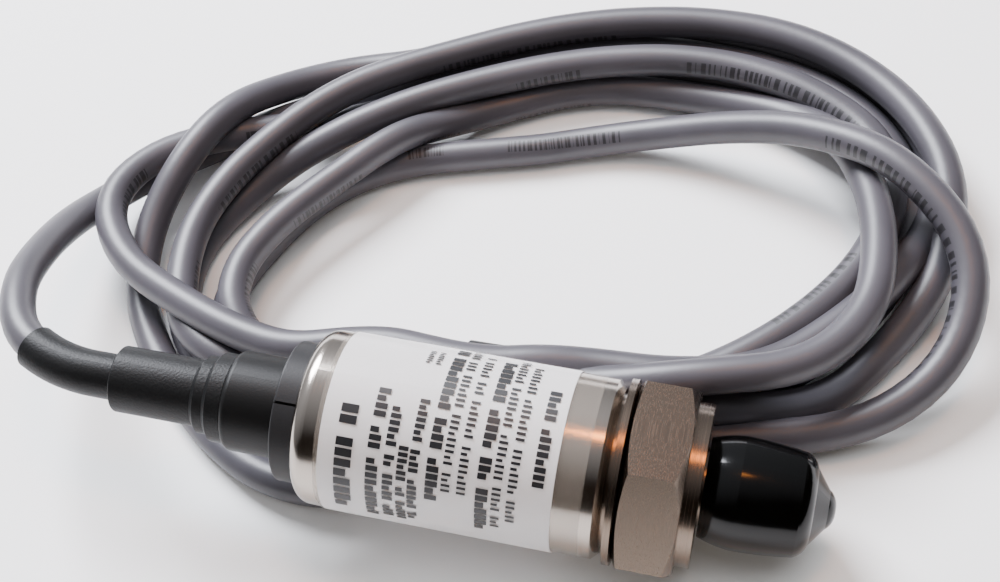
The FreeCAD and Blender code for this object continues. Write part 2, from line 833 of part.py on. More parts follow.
def make_board_wires():
    """Two insulated wires from the cable's cut end to the board."""
    wires = []
    for label, side in BOARD_WIRES.items():
        points = [AXIS.multVec(FreeCAD.Vector(dim.jacket_end.value + along, side * across, up))
                  for along, across, up in BOARD_WIRE_ROUTE]
        wires.append(wire_feature(label, points, dim.wire_radius.value))
    return wires


def make_dust_cap():
    """Push-on cap: a thin rim, a fuller belly, a rounded shoulder and a blunt cone."""
    belly = cap_mouth + dim.cap_belly_place
    shoulder = cap_mouth + dim.cap_shoulder_place
    cone, nose = cap_mouth + dim.cap_cone_place, cap_mouth + dim.cap_nose_place
    bore_end, bore_tip = cap_mouth + dim.cap_bore_depth, cap_mouth + dim.cap_bore_end
    belly_radius = cap_bore + dim.cap_belly_wall
    return turned("dust_cap", [
        (cap_mouth, cap_bore),
        (cap_mouth, cap_bore + dim.cap_mouth_wall),
        (belly, belly_radius, dim.cap_belly_curve),
        (shoulder, dim.cap_shoulder_radius, dim.cap_shoulder_curve),
        (cone, dim.cap_cone_radius, dim.cap_nose_radius),
        (nose, dim.cap_nose_radius),
        (cap_mouth + dim.cap_length, dim.cap_tip_radius, dim.cap_nose_radius),
        (cap_mouth + dim.cap_length, ZERO),
        (bore_tip, ZERO),
        (bore_tip, dim.cap_nose_radius - dim.cap_tip_radius),
        (bore_end, cap_bore),
    ])


def prism(label, half_length, half_width, centre, height):
    """Upright elliptic block standing on the ground."""
    ellipse = doc.addObject("Part::Ellipse", label + "_outline")
    ellipse.setExpression("MajorRadius", half_length.formula)
    ellipse.setExpression("MinorRadius", half_width.formula)
    ellipse.Placement = FreeCAD.Placement(FreeCAD.Vector(*centre, 0), FreeCAD.Rotation())
    block = doc.addObject("Part::Extrusion", label)
    block.Base = ellipse
    block.Dir = FreeCAD.Vector(0, 0, 1)
    block.Solid = True
    block.setExpression("LengthFwd", height.formula)
    return block


def cut_from(label, base, tool):
    """One solid less another."""
    result = doc.addObject("Part::Cut", label)
    result.Base = base
    result.Tool = tool
    return result


def make_coil():
    """Outer form of the coil behind the transmitter, clear of the transmitter and of the cap."""
    outside = prism("coil_block", dim.coil_half_length, dim.coil_half_width, COIL_CENTRE, dim.coil_height)
    hole = prism("coil_hole", dim.coil_hole_half_length, dim.coil_hole_half_width,
                 COIL_HOLE_CENTRE, dim.coil_height)
    beyond = dim.coil_half_length * 2
    around = doc.addObject("Part::Cylinder", "coil_relief")
    around.setExpression("Radius", (hex_corner + dim.coil_clearance).formula)
    around.setExpression("Height", (beyond + washer_end).formula)
    across = FreeCAD.Rotation(FreeCAD.Vector(0, 1, 0), FULL_TURN / 4)
    around.Placement = AXIS.multiply(FreeCAD.Placement(FreeCAD.Vector(-beyond.value, 0, 0), across))
    front = doc.addObject("Part::Box", "coil_front_space")
    for side, size in (("Length", beyond * 2), ("Width", beyond), ("Height", dim.coil_height)):
        front.setExpression(side, size.formula)
    front.Placement.Base = FreeCAD.Vector(-beyond.value, (dim.coil_front - beyond).value, 0)
    ring = cut_from("coil_ring", outside, hole)
    behind = cut_from("coil_behind", ring, front)
    coil = cut_from("cable_coil", behind, around)
    coil.Label = "cable_coil"
    return coil


def make_tail():
    """Bare far end of the cable: jacket, shrink sleeve and three stripped leads."""
    start, end = [FreeCAD.Vector(*point) for point in TAIL_ROUTE]
    onward = (end - start).normalize()
    left = FreeCAD.Vector(0, 0, 1).cross(onward)
    jacket = Part.makeCylinder(dim.cable_radius.value, (end - start).Length, start, onward)
    length, overhang = dim.tail_sleeve_length.value, dim.tail_sleeve_overhang.value
    foot = end + onward * (overhang - length)
    sleeve = Part.makeCylinder(dim.tail_sleeve_radius.value, length, foot, onward)
    sleeve = sleeve.cut(Part.makeCylinder(cable_bore.value, length, foot, onward))
    pieces = [placed_feature("cable_tail", jacket), placed_feature("tail_sleeve", sleeve)]
    for label, route, radius in (
        ("tail_lead_red", TAIL_LEAD_RED, dim.wire_radius.value),
        ("tail_lead_black", TAIL_LEAD_BLACK, dim.wire_radius.value),
        ("tail_drain_wire", TAIL_DRAIN_WIRE, dim.drain_radius.value),
    ):
        depth = FreeCAD.Vector(0, 0, end.z - radius - dim.slip_gap.value)
        points = [end + onward * along + left * across - depth * down for along, across, down in route]
        pieces.append(wire_feature(label, points, radius))
    return pieces


def build():
    """Every sub-part, in the order in which the transmitter is put together."""
    pieces = [
        make_port_fitting(), make_face_seal(), make_capsule(), make_retaining_ring(), make_pins(),
        make_interface_board(), make_main_board(), *make_board_parts(), make_carrier(),
        make_body_seal(), make_housing(), make_label(), make_label_film(), make_grommet(),
        make_cable_entry(), make_cable_clamp(), *make_board_wires(), make_outer_sleeve(),
        make_inner_sleeve(), make_dust_cap(),
        wire_feature("cable_lead", lead_points(), dim.cable_radius.value),
        make_coil(), *make_tail(),
    ]
    doc.recompute()
    return pieces


def check(pieces):
    """Stop on any failed object or faulty shape."""
    for item in doc.Objects:
        assert not {"Invalid", "Error"} & set(item.State), f"{item.Name} failed: {item.State}"
    for piece in pieces:
        assert not piece.Shape.isNull() and piece.Shape.isValid(), f"{piece.Label} has a faulty shape"


def export(pieces):
    """Write each sub-part to its own STEP file."""
    os.makedirs("parts", exist_ok=True)
    for piece in pieces:
        piece.Shape.exportStep(f"parts/{piece.Label}.step")
        print(f"{piece.Label}: {len(piece.Shape.Solids)} solid(s), {piece.Shape.Volume:.1f} cubic mm")


pieces = build()
check(pieces)
export(pieces)
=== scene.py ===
"""Looks of a pressure transmitter that lies on the coil of its own cable.

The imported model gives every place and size. This script adds the cable as one cord, the print on
the label, the finishes of all pieces, a pale floor, soft light and a camera.
"""
import json
import math

import bpy
import numpy as np
from bpy.props import FloatProperty, FloatVectorProperty, IntProperty, PointerProperty
from mathutils import Matrix, Vector


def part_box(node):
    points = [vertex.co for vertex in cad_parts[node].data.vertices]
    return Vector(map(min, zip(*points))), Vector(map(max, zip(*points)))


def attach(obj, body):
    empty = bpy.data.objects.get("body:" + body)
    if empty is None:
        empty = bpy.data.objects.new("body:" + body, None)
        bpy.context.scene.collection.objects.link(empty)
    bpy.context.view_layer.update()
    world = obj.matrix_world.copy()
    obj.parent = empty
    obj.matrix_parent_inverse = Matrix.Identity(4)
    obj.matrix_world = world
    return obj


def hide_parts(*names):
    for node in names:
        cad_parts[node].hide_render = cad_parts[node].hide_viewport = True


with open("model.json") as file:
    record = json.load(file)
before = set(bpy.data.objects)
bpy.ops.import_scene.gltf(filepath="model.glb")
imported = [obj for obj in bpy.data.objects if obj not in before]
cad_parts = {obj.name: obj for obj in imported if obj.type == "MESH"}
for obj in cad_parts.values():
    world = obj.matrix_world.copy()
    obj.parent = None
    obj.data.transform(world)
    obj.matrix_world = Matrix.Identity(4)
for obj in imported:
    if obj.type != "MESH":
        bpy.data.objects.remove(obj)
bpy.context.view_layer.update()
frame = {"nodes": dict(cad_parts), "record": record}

bl_info = {
    "name": "Pressure transmitter",
    "version": (1, 0, 0),
    "blender": (4, 5, 0),
    "location": "View3D > Sidebar > Transmitter",
    "description": "Finishes, cable and label print of a pressure transmitter",
    "category": "Object",
}

MM = 0.001
FULL_TURN = 2 * math.pi

# Free cable from the sleeve's mouth down to the coil, in metres
LEAD_POINTS = [
    (-0.0359, 0.0000, 0.0207), (-0.0450, 0.0000, 0.0219), (-0.0534, 0.0036, 0.0229),
    (-0.0586, 0.0124, 0.0213), (-0.0612, 0.0216, 0.0172), (-0.0628, 0.0314, 0.0119),
    (-0.0627, 0.0406, 0.0064), (-0.0586, 0.0494, 0.0034),
]
# Bare end of the cable behind the housing, in metres
TAIL_POINTS = [(0.0187, 0.0184, 0.0030), (0.0047, 0.0194, 0.0030)]
COIL_CENTRE = (0.0, 0.038)
# Turns of the coil: (degrees, reach, height) with the sizes in millimetres.
# 0 degrees is at the cable side, 90 at the back, 180 at the pressure port, 270 at the front.
COIL_TURNS = [
    [(22, 53.0, 2.4), (32, 48.3, 2.4), (48, 42.3, 2.4), (64, 39.6, 2.4), (90, 43.2, 2.4),
     (120, 49.8, 2.4), (146, 59.3, 2.4), (165, 60.0, 2.4), (180, 55.6, 2.4), (195, 48.2, 2.4),
     (210, 42.0, 2.4), (230, 32.4, 2.4), (250, 28.4, 2.4), (270, 28.4, 2.4), (288, 30.4, 2.4),
     (309, 33.0, 2.4)],
    [(322, 40.5, 6.6), (336, 46.0, 6.8), (346, 46.0, 7.0), (354, 46.0, 7.2), (6, 44.9, 7.4),
     (20, 42.2, 8), (43, 40.3, 8), (67, 39.1, 7.4), (90, 42.7, 7.2), (111, 49.1, 7.2),
     (132, 58.0, 7.2), (152, 63.6, 7.2), (166, 64.8, 7.4), (178, 62.4, 4.0), (194, 55.4, 2.4),
     (205, 51.0, 2.8), (216, 40.7, 6.2), (233, 32.7, 6.6), (250, 28.0, 6.6), (270, 26.4, 6.5),
     (290, 28.3, 6.5), (307, 35.0, 5.4)],
    [(322, 42.0, 2.4), (336, 46.6, 2.4), (350, 47.3, 2.4), (0, 46.4, 2.4), (12, 42.8, 2.8),
     (22, 38.9, 4.6), (34, 34.6, 6.6), (52, 31.9, 7.2), (79, 32.2, 7.2), (104, 37.4, 7.2),
     (123, 44.5, 7.2), (141, 52.0, 7.2), (158, 57.8, 6.4), (172, 55.3, 6.6), (185, 49.6, 7.0),
     (201, 42.4, 7.0), (213, 37.6, 6.5), (229, 29.8, 6.0), (250, 24.2, 3.4), (270, 23.8, 2.7),
     (291, 26.0, 2.5), (311, 30.6, 2.4)],
    [(323, 36.0, 5.0), (334, 38.4, 6.8), (344, 37.9, 7.0), (353, 35.3, 7.2), (7, 30.8, 7.2),
     (24, 27.4, 7.2), (44, 26.8, 6.9), (62, 28.0, 4.2), (80, 30.5, 2.4), (103, 36.0, 2.4),
     (126, 42.0, 2.4), (143, 49.4, 4.4), (157, 52.6, 8.6), (170, 53.6, 10.4), (184, 54.6, 11.2),
     (197, 54.2, 11.2), (207, 48.8, 12.2), (216, 40.4, 12.6), (231, 31.8, 9.8), (240, 27.4, 7.8),
     (250, 23.6, 7.2), (270, 22.1, 6.8), (291, 23.8, 6.6), (308, 30.6, 6.6)],
    [(316, 35.2, 4.2), (324, 38.6, 2.4), (336, 40.8, 2.4), (346, 39.8, 2.4), (358, 36.0, 2.4),
     (12, 32.8, 2.4), (26, 29.6, 2.4), (41, 26.0, 2.4), (58, 22.6, 2.4), (78, 21.1, 2.4),
     (99, 22.5, 2.4), (114, 26.4, 2.6), (130, 32.4, 4.4), (146, 40.9, 9.0), (158, 49.4, 13.4),
     (168, 58.0, 15.2), (178, 66.0, 12.0), (188, 67.2, 7.0), (200, 62.0, 4.4), (208, 54.9, 3.0),
     (218, 42.4, 2.4), (230, 36.6, 2.4), (243, 33.3, 2.4), (256, 32.4, 2.4), (268, 33.6, 2.4)],
    [(280, 39.6, 2.4), (292, 44.6, 2.4), (306, 46.6, 2.4), (321, 48.3, 2.4), (331, 50.1, 2.4),
     (343, 53.2, 2.4), (354, 55.0, 3.6), (4, 53.0, 8.0), (14, 51.0, 10.6), (24, 51.2, 9.6),
     (34, 51.8, 5.4), (46, 50.0, 2.4), (62, 44.4, 2.4), (90, 48.0, 2.4), (120, 54.6, 2.4),
     (146, 64.2, 2.4), (162, 65.2, 2.4), (172, 60.8, 4.6), (189, 52.1, 7.0), (203, 45.8, 7.4),
     (213, 39.6, 9.6), (228, 29.0, 9.8), (240, 26.0, 10.9), (251, 24.8, 10.9), (270, 23.4, 11.3),
     (289, 23.6, 11.4), (303, 27.6, 11.2)],
    [(314, 33.8, 10.4), (324, 37.6, 10.0), (335, 43.4, 9.8), (343, 49.8, 9.8), (350, 56.0, 10.2),
     (358, 60.2, 10.2), (6, 59.8, 9.2), (15, 56.4, 7.4), (24, 49.0, 5.0), (36, 41.2, 2.4),
     (50, 36.8, 2.4), (66, 34.8, 2.4), (90, 38.4, 2.4), (120, 45.2, 2.4), (146, 54.5, 2.4),
     (165, 55.6, 2.4), (180, 51.5, 2.4), (195, 44.2, 2.4), (207, 39.2, 2.4), (216, 33.4, 2.7)],
]


def linear(colour):
    """An sRGB hex colour as linear red, green, blue and alpha."""
    parts = [int(colour[place:place + 2], 16) / 255 for place in (1, 3, 5)]
    return (*[p / 12.92 if p <= 0.04045 else ((p + 0.055) / 1.055) ** 2.4 for p in parts], 1.0)


def tint(name, colour, description):
    """A colour that a user can change."""
    return FloatVectorProperty(name=name, description=description, default=linear(colour)[:3],
                               subtype="COLOR", size=3, min=0, max=1)


# ---------------------------------------------------------------- the axis of the transmitter
PORT = next(mount for mount in frame["record"]["mounts"] if mount["name"] == "pressure_port")
ALONG = Vector(PORT["axis"]).normalized()
ASIDE = Vector((0, 1, 0))
ABOVE = ASIDE.cross(ALONG) * -1
HOUSING_LOW, HOUSING_HIGH = (Vector(corner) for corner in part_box("housing"))
HOUSING_RADIUS = (HOUSING_HIGH.y - HOUSING_LOW.y) / 2


def rear_centre():
    """Centre of the housing's rear face: the axis point whose disc just reaches the box's low x."""
    foot = Vector(PORT["pos_m"])
    reach = HOUSING_LOW.x + HOUSING_RADIUS * math.sqrt(1 - ALONG.x ** 2)
    return foot + ALONG * ((reach - foot.x) / ALONG.x)


REAR = rear_centre()


def around_axis(along, radius, angle):
    """Points at lengths along the axis, radii and angles; angle 0 is up and grows to the front."""
    along, radius, angle = np.broadcast_arrays(along, radius, angle)
    across = np.cos(angle)[..., None] * np.array(ABOVE) - np.sin(angle)[..., None] * np.array(ASIDE)
    return np.array(REAR) + along[..., None] * np.array(ALONG) + radius[..., None] * across


# ---------------------------------------------------------------- node trees and meshes
def add_node(tree, kind, settings=None, **inputs):
    """Add a node, give it its settings, and set or link its inputs.

    An input goes by its name with underscores for spaces, or by its number, as i0.
    """
    node = tree.nodes.new(kind)
    for name, value in (settings or {}).items():
        setattr(node, name, value)
    for name, value in inputs.items():
        numbered = name[0] == "i" and name[1:].isdigit()
        socket = node.inputs[int(name[1:])] if numbered else node.inputs[name.replace("_", " ")]
        if isinstance(value, bpy.types.NodeSocket):
            tree.links.new(value, socket)
        else:
            socket.default_value = value
    return node


def new_material(name, colour, roughness, metallic=0.0, **inputs):
    """A material with one surface shader; returns it with its tree and shader."""
    material = bpy.data.materials.new(name)
    material.use_nodes = True
    tree = material.node_tree
    shader = next(node for node in tree.nodes if node.type == "BSDF_PRINCIPLED")
    shader.inputs["Base Color"].default_value = (*colour[:3], 1.0)
    shader.inputs["Roughness"].default_value = roughness
    shader.inputs["Metallic"].default_value = metallic
    for key, value in inputs.items():
        shader.inputs[key.replace("_", " ")].default_value = value
    return material, tree, shader


def grain(tree, shader, size_mm, depth_mm, detail=3.0, stretch=(1, 1, 1)):
    """Bump from noise whose grain has this size; returns the noise's node."""
    place = add_node(tree, "ShaderNodeTexCoord")
    spread = add_node(tree, "ShaderNodeMapping", {"vector_type": "POINT"},
                      Vector=place.outputs["Object"], Scale=stretch)
    noise = add_node(tree, "ShaderNodeTexNoise", None, Vector=spread.outputs["Vector"],
                     Scale=1 / (size_mm * MM), Detail=detail, Roughness=0.55)
    bump = add_node(tree, "ShaderNodeBump", None, Strength=1.0, Distance=depth_mm * MM,
                    Height=noise.outputs["Fac"])
    tree.links.new(bump.outputs["Normal"], shader.inputs["Normal"])
    return noise


def mottle(tree, shader, dark, light, fac, low=0.35, high=0.65):
    """Base colour that runs from dark to light as a factor goes from low to high."""
    ramp = add_node(tree, "ShaderNodeValToRGB", None, Fac=fac)
    ramp.color_ramp.elements[0].position = low
    ramp.color_ramp.elements[0].color = (*dark[:3], 1)
    ramp.color_ramp.elements[1].position = high
    ramp.color_ramp.elements[1].color = (*light[:3], 1)
    tree.links.new(ramp.outputs["Color"], shader.inputs["Base Color"])
    return ramp


def axis_places(tree):
    """Two sockets: millimetres along the axis from the rear face, and millimetres out from it."""
    place = add_node(tree, "ShaderNodeTexCoord")
    local = add_node(tree, "ShaderNodeVectorMath", {"operation": "SUBTRACT"},
                     i0=place.outputs["Object"], i1=tuple(REAR))
    along = add_node(tree, "ShaderNodeVectorMath", {"operation": "DOT_PRODUCT"},
                     i0=local.outputs["Vector"], i1=tuple(ALONG / MM))
    across = add_node(tree, "ShaderNodeVectorMath", {"operation": "CROSS_PRODUCT"},
                      i0=local.outputs["Vector"], i1=tuple(ALONG / MM))
    out = add_node(tree, "ShaderNodeVectorMath", {"operation": "LENGTH"},
                   i0=across.outputs["Vector"])
    return along.outputs["Value"], out.outputs["Value"]


def turning_lines(tree, shader, pitch_mm, depth_mm, smoothest=0.7, roughest=1.35):
    """Bump and roughness from lines that run round the axis, as a lathe or belt leaves them.

    The roughness swings between the given shares of the shader's own.
    """
    along, out = axis_places(tree)
    both = add_node(tree, "ShaderNodeCombineXYZ", None, X=along, Y=out)
    noise = add_node(tree, "ShaderNodeTexNoise", None, Vector=both.outputs["Vector"],
                     Scale=1 / pitch_mm, Detail=4.0, Roughness=0.7)
    bump = add_node(tree, "ShaderNodeBump", None, Strength=1.0, Distance=depth_mm * MM,
                    Height=noise.outputs["Fac"])
    tree.links.new(bump.outputs["Normal"], shader.inputs["Normal"])
    base = shader.inputs["Roughness"].default_value
    rough = add_node(tree, "ShaderNodeMapRange", None, Value=noise.outputs["Fac"],
                     From_Min=0.3, From_Max=0.7, To_Min=base * smoothest, To_Max=base * roughest)
    tree.links.new(rough.outputs["Result"], shader.inputs["Roughness"])


def dress(material, *names):
    """Give CAD nodes a material, leaving their meshes as they are."""
    for name in names:
        node = frame["nodes"][name]
        if not node.material_slots:
            node.data.materials.append(None)
        for slot in node.material_slots:
            slot.link = "OBJECT"
            slot.material = material


def new_piece(name, vertices, faces, material, smooth=True):
    """A mesh object in the common frame."""
    mesh = bpy.data.meshes.new(name)
    mesh.from_pydata(np.asarray(vertices).reshape(-1, 3).tolist(), [], np.array(faces).tolist())
    mesh.polygons.foreach_set("use_smooth", np.full(len(mesh.polygons), smooth))
    mesh.materials.append(material)
    mesh.update()
    piece = bpy.data.objects.new(name, mesh)
    bpy.context.scene.collection.objects.link(piece)
    return piece


# ---------------------------------------------------------------- settings
class TransmitterSizes(bpy.types.PropertyGroup):
    """Sizes that a user may change."""
    cable_diameter: FloatProperty(name="Cable diameter", description="Across the cable's jacket",
                                  default=4.8 * MM, min=MM, unit="LENGTH")
    cable_length: FloatProperty(name="Cable length", description="Length of the whole cable",
                                default=1.95, min=0.5, unit="LENGTH")
    coil_step: IntProperty(name="Coil step", description="Degrees between points of the coil",
                           default=12, min=5, max=30)
    thread_start: FloatProperty(name="Thread start",
                                description="From the housing's rear face to the thread",
                                default=51.0 * MM, min=0, unit="LENGTH")
    thread_length: FloatProperty(name="Thread length", description="Along the nipple",
                                 default=7.6 * MM, min=MM, unit="LENGTH")
    thread_pitch: FloatProperty(name="Thread pitch", description="Twenty turns to the inch",
                                default=1.27 * MM, min=0.2 * MM, unit="LENGTH")
    thread_radius: FloatProperty(name="Thread radius", description="Outside radius of the nipple",
                                 default=5.556 * MM, min=MM, unit="LENGTH")
    thread_crest: FloatProperty(name="Thread crest", description="How far the ridge stands out",
                                default=0.08 * MM, min=0, unit="LENGTH")
    lens: FloatProperty(name="Lens", description="Focal length of the camera, in millimetres",
                        default=55.08, min=20)
    floor_size: FloatProperty(name="Floor size", description="Side of the square floor",
                              default=30.0, min=0.5, unit="LENGTH")


class TransmitterColours(bpy.types.PropertyGroup):
    """Colours that a user may change."""
    jacket: tint("Cable jacket", "#454349", "Plasticised PVC of the cable")
    sleeve: tint("Shrink sleeve", "#0B0B0C", "Heat-shrink tube of the strain relief")
    rubber: tint("Moulded rubber", "#090909", "Boot and flange of the strain relief")
    label: tint("Label", "#E4E3E6", "Satin label stock")
    ink: tint("Label print", "#17171A", "Print on the label")
    cap: tint("Dust cap", "#020202", "Glossy vinyl of the dust cap")
    # The housing's steel colour is darker and warmer than the steel's own: a painted reflection of
    # a dark, warm room
    housing: tint("Housing steel", "#A89F96", "Polished stainless steel")
    # The fitting's brown steel colour is a painted reflection of a dark, warm room, not the steel's
    # own colour
    fitting: tint("Fitting steel", "#74675C", "Machined stainless steel")
    floor: tint("Floor", "#F4F4F4", "Plain studio floor")


# ---------------------------------------------------------------- camera and cable
SENSOR_WIDTH = 36.0    # millimetres
NEAREST_SEEN = 0.01    # metres
CAMERA_PLACE = (61.47, -91.37, 172.07)    # millimetres
CAMERA_RIGHT, CAMERA_UP = (0.9587, 0.2291, -0.1685), (-0.0825, 0.7909, 0.6063)    # directions


class OBJECT_OT_transmitter_camera(bpy.types.Operator):
    """Place the camera above the front right of the transmitter"""
    bl_idname = "object.transmitter_camera"
    bl_label = "Camera"

    def execute(self, context):
        data = bpy.data.cameras.new("view_camera")
        data.sensor_width = SENSOR_WIDTH
        data.lens = context.scene.transmitter_sizes.lens
        camera = bpy.data.objects.new("view_camera", data)
        right, up = Vector(CAMERA_RIGHT), Vector(CAMERA_UP)
        turn = Matrix((right, up, right.cross(up))).transposed()
        camera.matrix_world = Matrix.Translation(Vector(CAMERA_PLACE) * MM) @ turn.to_4x4()
        data.clip_start = NEAREST_SEEN
        context.scene.collection.objects.link(camera)
        context.scene.camera = camera
        return {"FINISHED"}


def coil_points(step):
    """Points of the coil: reach and height follow a smooth cubic between the listed places."""
    angle, reach, height = np.array([place for turn in COIL_TURNS for place in turn]).T
    angle = np.unwrap(angle, period=360)
    count = int(round((angle[-1] - angle[0]) / step))
    wanted = np.linspace(angle[0], angle[-1], count + 1)
    spread = cubic_between(angle, reach, wanted)
    raised = np.maximum(cubic_between(angle, height, wanted), height.min())
    turned = np.radians(wanted)
    return np.stack([COIL_CENTRE[0] - spread * MM * np.cos(turned),
                     COIL_CENTRE[1] + spread * MM * np.sin(turned), raised * MM], axis=1)


def cubic_between(places, values, wanted):
    """Cubic curve through values at places, with its slopes from the neighbours on both sides."""
    slopes = np.gradient(values, places)
    index = np.clip(np.searchsorted(places, wanted, side="right") - 1, 0, len(places) - 2)
    width = places[index + 1] - places[index]
    part = (wanted - places[index]) / width
    return ((1 + 2 * part) * (1 - part) ** 2 * values[index]
            + part * (1 - part) ** 2 * width * slopes[index]
            + part ** 2 * (3 - 2 * part) * values[index + 1]
            + part ** 2 * (part - 1) * width * slopes[index + 1])


# Ink on the jacket: lengths along the cable in millimetres, then the band's half width as a
# share of the way round
GROUP_SPACING, TICK_SPACING, WANDER_SPACING = 30, 0.7, 350
BAND_HALF_WIDTH = 0.06
JACKET_INK = "#201F22"


def jacket_print(tree, length):
    """Where the jacket carries ink: groups of plain ticks in a line that wanders round it."""
    place = add_node(tree, "ShaderNodeUVMap")
    parts = add_node(tree, "ShaderNodeSeparateXYZ", None, Vector=place.outputs["UV"])
    metres = add_node(tree, "ShaderNodeMath", {"operation": "MULTIPLY"},
                      i0=parts.outputs["X"], i1=length)
    groups, ticks, wander = [
        add_node(tree, "ShaderNodeTexNoise", {"noise_dimensions": "1D"},
                 W=metres.outputs["Value"], Scale=1 / (spacing * MM), Detail=0.0).outputs["Fac"]
        for spacing in (GROUP_SPACING, TICK_SPACING, WANDER_SPACING)]
    aside = add_node(tree, "ShaderNodeMath", {"operation": "SUBTRACT"},
                     i0=parts.outputs["Y"], i1=wander)
    band = add_node(tree, "ShaderNodeMath", {"operation": "ABSOLUTE"}, i0=aside.outputs["Value"])
    narrow = add_node(tree, "ShaderNodeMath", {"operation": "LESS_THAN"},
                      i0=band.outputs["Value"], i1=BAND_HALF_WIDTH)
    grouped, inked = [
        add_node(tree, "ShaderNodeMath", {"operation": "GREATER_THAN"}, i0=noise, i1=0.5)
        for noise in (groups, ticks)]
    both = add_node(tree, "ShaderNodeMath", {"operation": "MULTIPLY"},
                    i0=narrow.outputs["Value"], i1=grouped.outputs["Value"])
    return add_node(tree, "ShaderNodeMath", {"operation": "MULTIPLY"},
                    i0=both.outputs["Value"], i1=inked.outputs["Value"]).outputs["Value"]


def jacket_material(name, colours, length=None):
    """Plasticised PVC, extruded: satin grey with a slight violet tint and faint scuffs.

    With a length it also carries the print.
    """
    material, tree, shader = new_material(name, colours.jacket, roughness=0.42)
    noise = grain(tree, shader, size_mm=0.7, depth_mm=0.014)
    broad = add_node(tree, "ShaderNodeTexNoise", None, Scale=1 / (14 * MM), Detail=2.0,
                     Vector=noise.inputs["Vector"].links[0].from_socket)
    dark = [part * 0.84 for part in colours.jacket]
    light = [part * 1.1 for part in colours.jacket]
    ramp = mottle(tree, shader, dark, light, broad.outputs["Fac"])
    if length:
        ink = add_node(tree, "ShaderNodeMix", {"data_type": "RGBA"}, i0=jacket_print(tree, length),
                       i6=ramp.outputs["Color"], i7=linear(JACKET_INK))
        tree.links.new(ink.outputs[2], shader.inputs["Base Color"])
    return material


class OBJECT_OT_transmitter_cable(bpy.types.Operator):
    """Lay the cable from the strain relief through the coil to its bare end"""
    bl_idname = "object.transmitter_cable"
    bl_label = "Cable"

    def execute(self, context):
        sizes = context.scene.transmitter_sizes
        curve = bpy.data.curves.new("signal_cable", "CURVE")
        curve.dimensions = "3D"
        curve.bevel_depth = sizes.cable_diameter / 2
        curve.bevel_resolution = 6
        curve.resolution_u = 6
        curve.use_fill_caps = True
        spline = curve.splines.new("NURBS")
        points = np.vstack([LEAD_POINTS, coil_points(sizes.coil_step), TAIL_POINTS])
        spline.points.add(len(points) - 1)
        spline.points.foreach_set("co", np.hstack([points, np.ones((len(points), 1))]).ravel())
        spline.order_u = 3
        spline.use_endpoint_u = True
        colours = context.scene.transmitter_colours
        curve.materials.append(jacket_material("printed_pvc", colours, sizes.cable_length))
        cable = bpy.data.objects.new("signal_cable", curve)
        context.scene.collection.objects.link(cable)
        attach(cable, "transmitter")
        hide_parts("cable_lead", "cable_coil", "cable_tail")
        # The curve touches its cage halfway between two points
        dress(jacket_material("extruded_pvc", colours),
              "cable_entry", "cable_lead", "cable_coil", "cable_tail")
        return {"FINISHED"}


# ---------------------------------------------------------------- strain relief
RIM_BAND = (8.3, 8.9)    # where the painted rim highlight greys the flange, millimetres out from the axis
# The first colour is a painted highlight on the flange's rim, not dust
RIM_HIGHLIGHT, SHRUNK_HIGHLIGHT = "#2E2E30", "#121313"


def rubber_material(colours):
    """Moulded rubber: satin black, with a painted highlight, speckled by noise, that greys the
    flange's rim.
    """
    material, tree, shader = new_material("moulded_rubber", colours.rubber, roughness=0.45,
                                          Specular_IOR_Level=0.2)
    grain(tree, shader, size_mm=0.25, depth_mm=0.016)
    _, out = axis_places(tree)
    rim = add_node(tree, "ShaderNodeMapRange", None, Value=out,
                   From_Min=RIM_BAND[0], From_Max=RIM_BAND[1])
    # Noise that speckles the painted rim highlight
    dust = add_node(tree, "ShaderNodeTexNoise", None, Scale=1 / (0.8 * MM), Detail=5.0)
    amount = add_node(tree, "ShaderNodeMath", {"operation": "MULTIPLY"},
                      i0=rim.outputs["Result"], i1=dust.outputs["Fac"])
    mottle(tree, shader, colours.rubber, linear(RIM_HIGHLIGHT), amount.outputs["Value"],
           low=0.1, high=0.9)
    return material


def sleeve_material(colours):
    """Heat-shrink polyolefin: matt black with the orange-peel skin that shrinking leaves."""
    material, tree, shader = new_material("heat_shrink", colours.sleeve, roughness=0.46,
                                          Specular_IOR_Level=0.2)
    noise = grain(tree, shader, size_mm=0.3, depth_mm=0.04, detail=2.0)
    mottle(tree, shader, colours.sleeve, linear(SHRUNK_HIGHLIGHT), noise.outputs["Fac"],
           low=0.4, high=0.75)
    return material


class OBJECT_OT_transmitter_relief(bpy.types.Operator):
    """Finish the boot and the shrink sleeves"""
    bl_idname = "object.transmitter_relief"
    bl_label = "Strain relief"

    def execute(self, context):
        colours = context.scene.transmitter_colours
        dress(rubber_material(colours), "grommet")
        dress(sleeve_material(colours), "outer_sleeve", "inner_sleeve", "tail_sleeve")
        return {"FINISHED"}


# ---------------------------------------------------------------- housing, label and film
def housing_material(colours):
    """Drawn and polished stainless steel: bright, with fine lines round the tube, and a base colour
    darkened by a painted reflection of a dark room.
    """
    material, tree, shader = new_material("polished_stainless", colours.housing,
                                          roughness=0.17, metallic=1.0)
    turning_lines(tree, shader, pitch_mm=0.25, depth_mm=0.0012)
    return material


def label_material(colours):
    """Satin label stock: white with faint fibres."""
    material, tree, shader = new_material("satin_label", colours.label, roughness=0.38)
    noise = grain(tree, shader, size_mm=0.3, depth_mm=0.002)
    dark = [part * 0.95 for part in colours.label]
    mottle(tree, shader, dark, colours.label, noise.outputs["Fac"])
    return material


def film_material():
    """Clear laminate: a thin haze and a sharper gloss over the label and the steel beside it."""
    material, tree, shader = new_material("clear_laminate", linear("#B8AFA4"), roughness=0.1,
                                          Alpha=0.1)
    grain(tree, shader, size_mm=2.5, depth_mm=0.01)
    return material


